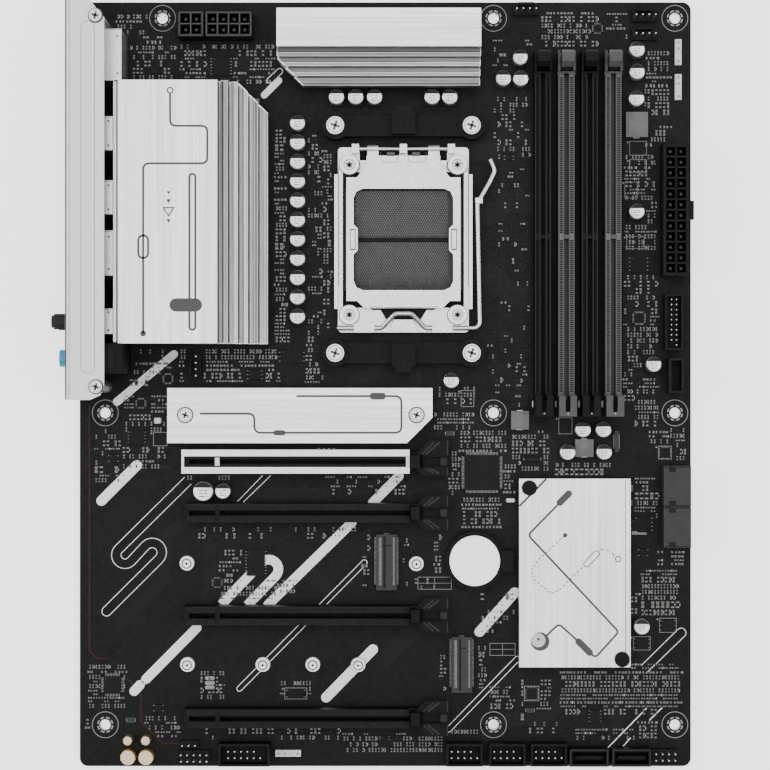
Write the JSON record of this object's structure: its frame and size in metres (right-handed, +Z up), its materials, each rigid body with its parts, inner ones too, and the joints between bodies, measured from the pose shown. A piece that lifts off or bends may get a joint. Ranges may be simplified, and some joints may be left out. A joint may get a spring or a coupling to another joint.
{
  "type": "motherboard",
  "caption": "Full-size computer main board with a levered processor socket, memory and expansion slots, heatsinks and a rear connector shield.",
  "frame": {"origin": "axis of the rear middle mounting hole, on the underside of the board", "axes": "+Z up out of the component side, +Y towards the processor's end of the board, +X away from the rear connectors"},
  "size_m": [0.2519, 0.3051, 0.0458],
  "materials": {
    "board": "satin solder mask",
    "shield_paint": "satin",
    "steel": "satin",
    "backplate_steel": "matte",
    "sink_aluminium": "brushed",
    "can_aluminium": "satin",
    "gold": "satin",
    "black_plastic": "matte",
    "grey_plastic": "matte",
    "white_plastic": "matte",
    "blue_plastic": "satin",
    "black_rubber": "matte",
    "pad_rubber": "matte",
    "choke_grey": "matte",
    "chip_resin": "matte",
    "contact_bed": "matte"
  },
  "bodies": {
    "board": {"antenna_module": "steel", "antenna_sockets": "gold", "audio_capacitors": "gold", "audio_jack_rings": "blue_plastic", "audio_stack": "black_plastic", "battery_holder": "black_plastic", "board_chips": "chip_resin", "capacitors": "can_aluminium", "case_headers": "black_plastic", "chipset_heatsink": "sink_aluminium", "chipset_push_pins": "black_plastic", "chokes": "choke_grey", "circuit_board": "board", "cooler_brackets": "black_plastic", "cooler_screws": "steel", "drive_connectors": "grey_plastic", "drive_heatsink": "sink_aluminium", "expansion_slots": "black_plastic", "front_type_c_header": "steel", "left_power_heatsink": "sink_aluminium", "light_header_bases": "white_plastic", "memory_slots_black": "black_plastic", "memory_slots_grey": "grey_plastic", "network_stack": "steel", "open_header_bases": "black_plastic", "plate_hinge_pin": "steel", "port_tongues": "blue_plastic", "power_contacts": "gold", "power_cpu_pair": "black_plastic", "power_main": "black_plastic", "rear_shield": "shield_paint", "sata_side_pair": "grey_plastic", "sata_upright_pair": "black_plastic", "shield_flange": "shield_paint", "slot_cladding": "steel", "small_screws": "steel", "socket_backplate": "backplate_steel", "socket_contacts": "contact_bed", "socket_frame": "steel", "socket_housing": "black_plastic", "socket_screws": "steel", "thermal_pads": "pad_rubber", "threaded_posts": "steel", "top_power_heatsink": "sink_aluminium", "update_button_box": "steel", "video_and_usb_stacks": "steel"},
    "lever": {"load_lever": "steel"},
    "hinged_plate": {"load_plate": "steel"},
    "battery": {"coin_battery": "steel"},
    "button": {"update_button": "black_plastic"},
    "cap_lower": {"antenna_cap_lower": "black_rubber"},
    "cap_upper": {"antenna_cap_upper": "black_rubber"},
    "memory_latch_1": {"memory_latch_1": "black_plastic"},
    "expansion_latch_1": {"expansion_latch_1": "black_plastic"},
    "memory_latch_2": {"memory_latch_2": "grey_plastic"},
    "expansion_latch_2": {"expansion_latch_2": "black_plastic"},
    "memory_latch_3": {"memory_latch_3": "black_plastic"},
    "expansion_latch_3": {"expansion_latch_3": "black_plastic"},
    "memory_latch_4": {"memory_latch_4": "grey_plastic"},
    "expansion_latch_4": {"expansion_latch_4": "black_plastic"}
  },
  "joints": [
    {"name": "lever_swing", "type": "hinge", "parent": "board", "child": "lever", "pos_m": [0.11894, 0.03373, 0.0068], "axis": [1, 0, 0], "range_deg": [0, 110]},
    {"name": "plate_swing", "type": "hinge", "parent": "board", "child": "hinged_plate", "pos_m": [0.11894, 0.10483, 0.0078], "axis": [-1, 0, 0], "range_deg": [0, 100]},
    {"name": "battery_lift", "type": "slide", "parent": "board", "child": "battery", "axis": [0, 0, 1], "range_m": [0, 0.02]},
    {"name": "button_press", "type": "slide", "parent": "board", "child": "button", "axis": [1, 0, 0], "range_m": [0, 0.0008], "stiffness_N_per_m": 400, "springref_m": -0.0005},
    {"name": "cap_lower_pull", "type": "slide", "parent": "board", "child": "cap_lower", "axis": [-1, 0, 0], "range_m": [0, 0.02]},
    {"name": "cap_upper_pull", "type": "slide", "parent": "board", "child": "cap_upper", "axis": [-1, 0, 0], "range_m": [0, 0.02]},
    {"name": "memory_latch_1_tilt", "type": "hinge", "parent": "board", "child": "memory_latch_1", "pos_m": [0.17424, 0.13983, 0.0058], "axis": [-1, 0, 0], "range_deg": [0, 35]},
    {"name": "expansion_latch_1_tilt", "type": "hinge", "parent": "board", "child": "expansion_latch_1", "pos_m": [0.12634, -0.01912, 0.005], "axis": [0, 1, 0], "range_deg": [0, 15]},
    {"name": "memory_latch_2_tilt", "type": "hinge", "parent": "board", "child": "memory_latch_2", "pos_m": [0.18354, 0.13983, 0.0058], "axis": [-1, 0, 0], "range_deg": [0, 35]},
    {"name": "expansion_latch_2_tilt", "type": "hinge", "parent": "board", "child": "expansion_latch_2", "pos_m": [0.12634, -0.03944, 0.005], "axis": [0, 1, 0], "range_deg": [0, 15]},
    {"name": "memory_latch_3_tilt", "type": "hinge", "parent": "board", "child": "memory_latch_3", "pos_m": [0.19284, 0.13983, 0.0058], "axis": [-1, 0, 0], "range_deg": [0, 35]},
    {"name": "expansion_latch_3_tilt", "type": "hinge", "parent": "board", "child": "expansion_latch_3", "pos_m": [0.12634, -0.08008, 0.005], "axis": [0, 1, 0], "range_deg": [0, 15]},
    {"name": "memory_latch_4_tilt", "type": "hinge", "parent": "board", "child": "memory_latch_4", "pos_m": [0.20214, 0.13983, 0.0058], "axis": [-1, 0, 0], "range_deg": [0, 35]},
    {"name": "expansion_latch_4_tilt", "type": "hinge", "parent": "board", "child": "expansion_latch_4", "pos_m": [0.12634, -0.12072, 0.005], "axis": [0, 1, 0], "range_deg": [0, 15]}
  ]
}
